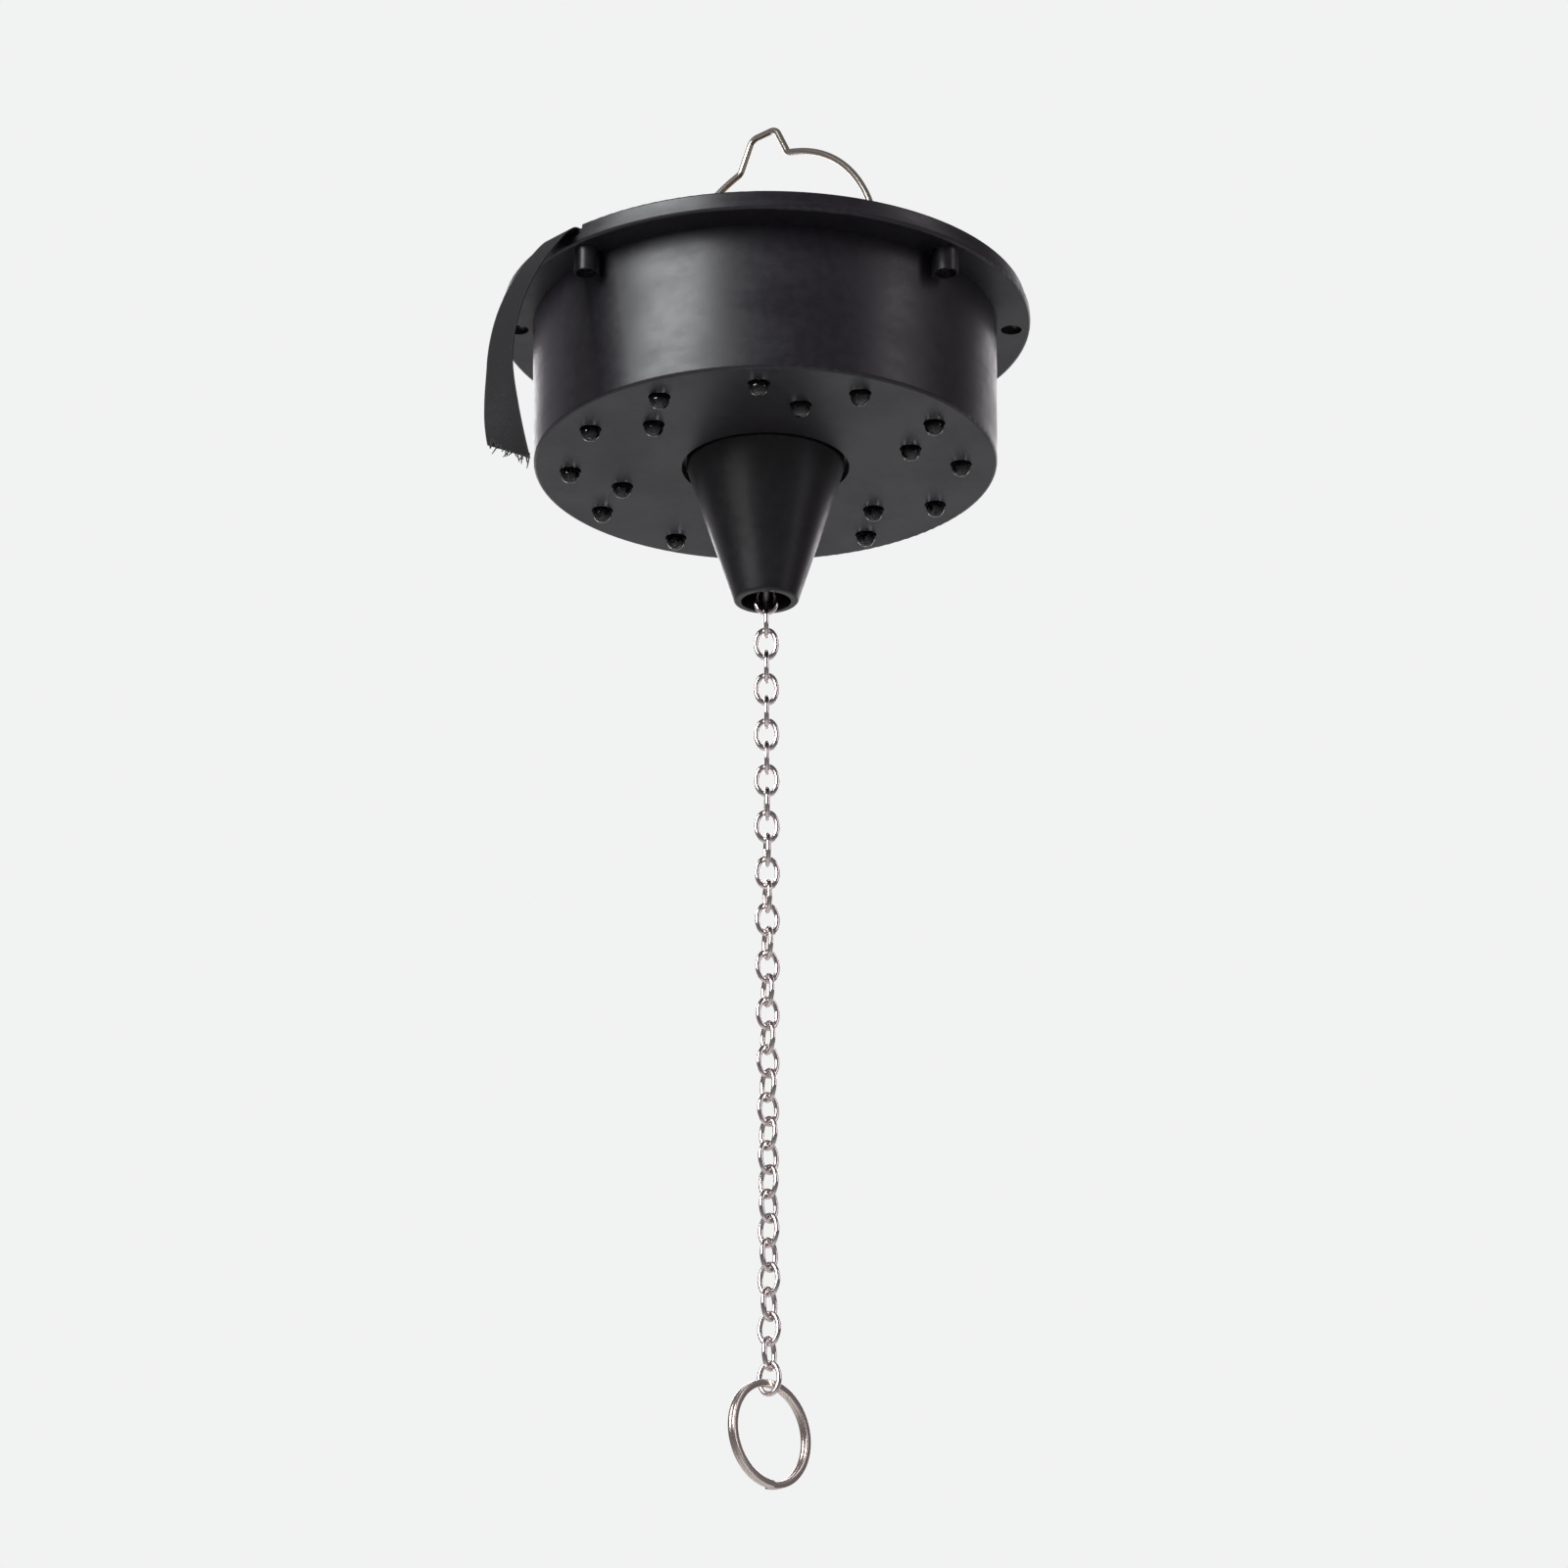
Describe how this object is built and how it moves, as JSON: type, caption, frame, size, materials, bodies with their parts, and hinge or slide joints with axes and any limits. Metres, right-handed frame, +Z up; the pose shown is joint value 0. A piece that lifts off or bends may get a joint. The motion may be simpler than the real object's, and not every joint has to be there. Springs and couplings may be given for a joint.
{
  "type": "mirror ball motor",
  "caption": "Battery-powered ceiling motor for a mirror ball: round flanged can with downward lights, turning cone, hanging chain, split ring and folding wire bail.",
  "frame": {"origin": "midway between the two ceiling screw holes, on the top face of the cover, which meets the ceiling", "axes": "+Z up towards the ceiling, +X towards one ceiling screw hole, +Y towards the slide switch"},
  "size_m": [0.1407, 0.14, 0.3713],
  "materials": {
    "black_abs": "fine-grained matt black moulded ABS",
    "clear_epoxy": "water-clear moulded epoxy",
    "circuit_board": "green solder mask on fibreglass",
    "screw_steel": "zinc-plated steel",
    "white_acetal": "moulded white acetal",
    "grey_acetal": "moulded grey acetal",
    "motor_steel": "zinc-plated drawn steel can",
    "cell_sleeve": "plain dark shrink sleeve on a steel can",
    "nickel_wire": "nickel-plated steel wire",
    "chain_nickel": "bright nickel-plated steel",
    "black_ribbon": "woven black polyester ribbon",
    "switch_black": "moulded black nylon",
    "brass": "machined brass"
  },
  "bodies": {
    "case": {"housing": "black_abs", "cover": "black_abs", "cover_screws": "screw_steel", "led_board": "circuit_board", "board_screws": "screw_steel", "leds_outer": "clear_epoxy", "leds_inner": "clear_epoxy", "thrust_washer": "white_acetal", "gearbox_base": "grey_acetal", "gearbox_lid": "grey_acetal", "gearbox_screws": "screw_steel", "gear_pins": "screw_steel", "drive_motor": "motor_steel", "battery_1": "cell_sleeve", "battery_2": "cell_sleeve", "battery_3": "cell_sleeve", "battery_4": "cell_sleeve", "contact_plates": "nickel_wire", "contact_springs": "nickel_wire", "battery_ribbon": "black_ribbon", "switch_body": "switch_black"},
    "rotor": {"rotor_cone": "black_abs", "cross_pin": "screw_steel", "output_gear": "white_acetal", "retaining_clip": "screw_steel"},
    "third_gear": {"third_gear": "white_acetal"},
    "second_gear": {"second_gear": "white_acetal"},
    "first_gear": {"first_gear": "white_acetal"},
    "motor_armature": {"motor_shaft": "screw_steel", "motor_pinion": "brass"},
    "bail": {"bail": "nickel_wire"},
    "switch_slider": {"switch_slider": "switch_black"},
    "chain_01": {"chain_01": "chain_nickel"},
    "chain_02": {"chain_02": "chain_nickel"},
    "chain_03": {"chain_03": "chain_nickel"},
    "chain_04": {"chain_04": "chain_nickel"},
    "chain_05": {"chain_05": "chain_nickel"},
    "chain_06": {"chain_06": "chain_nickel"},
    "chain_07": {"chain_07": "chain_nickel"},
    "chain_08": {"chain_08": "chain_nickel"},
    "chain_09": {"chain_09": "chain_nickel"},
    "chain_10": {"chain_10": "chain_nickel"},
    "chain_11": {"chain_11": "chain_nickel"},
    "chain_12": {"chain_12": "chain_nickel"},
    "split_ring": {"split_ring": "nickel_wire"}
  },
  "joints": [
    {"name": "rotor_spin", "type": "hinge", "parent": "case", "child": "rotor", "pos_m": [0, 0, -0.0454], "axis": [0, 0, 1], "continuous": true},
    {"name": "third_gear_spin", "type": "hinge", "parent": "case", "child": "third_gear", "pos_m": [-0.01565, 0.02418, -0.0354], "axis": [0, 0, 1], "continuous": true},
    {"name": "second_gear_spin", "type": "hinge", "parent": "case", "child": "second_gear", "pos_m": [0.00278, 0.0267, -0.0354], "axis": [0, 0, 1], "continuous": true},
    {"name": "first_gear_spin", "type": "hinge", "parent": "case", "child": "first_gear", "pos_m": [0.01909, 0.01909, -0.0354], "axis": [0, 0, 1], "continuous": true},
    {"name": "motor_spin", "type": "hinge", "parent": "case", "child": "motor_armature", "pos_m": [0.03182, 0.03182, -0.0354], "axis": [0, 0, 1], "continuous": true},
    {"name": "bail_swing", "type": "hinge", "parent": "case", "child": "bail", "pos_m": [0, 0, -0.0015], "axis": [0.7071, -0.7071, 0], "range_deg": [-90, 0]},
    {"name": "switch_slide", "type": "slide", "parent": "case", "child": "switch_slider", "axis": [1, 0, 0], "range_m": [0, 0.004]},
    {"name": "chain_01_swing", "type": "hinge", "parent": "rotor", "child": "chain_01", "pos_m": [0, 0, -0.0806], "axis": [0, 1, 0], "range_deg": [-30, 30]},
    {"name": "chain_02_swing", "type": "hinge", "parent": "chain_01", "child": "chain_02", "pos_m": [0, 0, -0.08657], "axis": [1, 0, 0], "range_deg": [-25, 25]},
    {"name": "chain_03_swing", "type": "hinge", "parent": "chain_02", "child": "chain_03", "pos_m": [0, 0, -0.10545], "axis": [0, 1, 0], "range_deg": [-25, 25]},
    {"name": "chain_04_swing", "type": "hinge", "parent": "chain_03", "child": "chain_04", "pos_m": [0, 0, -0.12434], "axis": [1, 0, 0], "range_deg": [-25, 25]},
    {"name": "chain_05_swing", "type": "hinge", "parent": "chain_04", "child": "chain_05", "pos_m": [0, 0, -0.14322], "axis": [-0.0454, 0.999, 0], "range_deg": [-25, 25]},
    {"name": "chain_06_swing", "type": "hinge", "parent": "chain_05", "child": "chain_06", "pos_m": [0, 0, -0.16211], "axis": [0.9836, 0.1805, 0], "range_deg": [-25, 25]},
    {"name": "chain_07_swing", "type": "hinge", "parent": "chain_06", "child": "chain_07", "pos_m": [0, 0, -0.18099], "axis": [-0.3123, 0.95, 0], "range_deg": [-25, 25]},
    {"name": "chain_08_swing", "type": "hinge", "parent": "chain_07", "child": "chain_08", "pos_m": [0, 0, -0.19988], "axis": [0.8988, 0.4384, 0], "range_deg": [-25, 25]},
    {"name": "chain_09_swing", "type": "hinge", "parent": "chain_08", "child": "chain_09", "pos_m": [0, 0, -0.21876], "axis": [-0.5563, 0.831, 0], "range_deg": [-25, 25]},
    {"name": "chain_10_swing", "type": "hinge", "parent": "chain_09", "child": "chain_10", "pos_m": [0, 0, -0.23765], "axis": [0.7478, 0.6639, 0], "range_deg": [-25, 25]},
    {"name": "chain_11_swing", "type": "hinge", "parent": "chain_10", "child": "chain_11", "pos_m": [0, 0, -0.25654], "axis": [-0.7593, 0.6508, 0], "range_deg": [-25, 25]},
    {"name": "chain_12_swing", "type": "hinge", "parent": "chain_11", "child": "chain_12", "pos_m": [0, 0, -0.27542], "axis": [0.5417, 0.8406, 0], "range_deg": [-25, 25]},
    {"name": "split_ring_swing", "type": "hinge", "parent": "chain_12", "child": "split_ring", "pos_m": [0, 0, -0.2943], "axis": [-0.9063, 0.4226, 0], "range_deg": [-18, 18]}
  ],
  "couplings": [
    {"joint": "third_gear_spin", "follows": "rotor_spin", "ratio": -5},
    {"joint": "second_gear_spin", "follows": "rotor_spin", "ratio": 20.833},
    {"joint": "first_gear_spin", "follows": "rotor_spin", "ratio": -104.17},
    {"joint": "motor_spin", "follows": "rotor_spin", "ratio": 520.83}
  ]
}
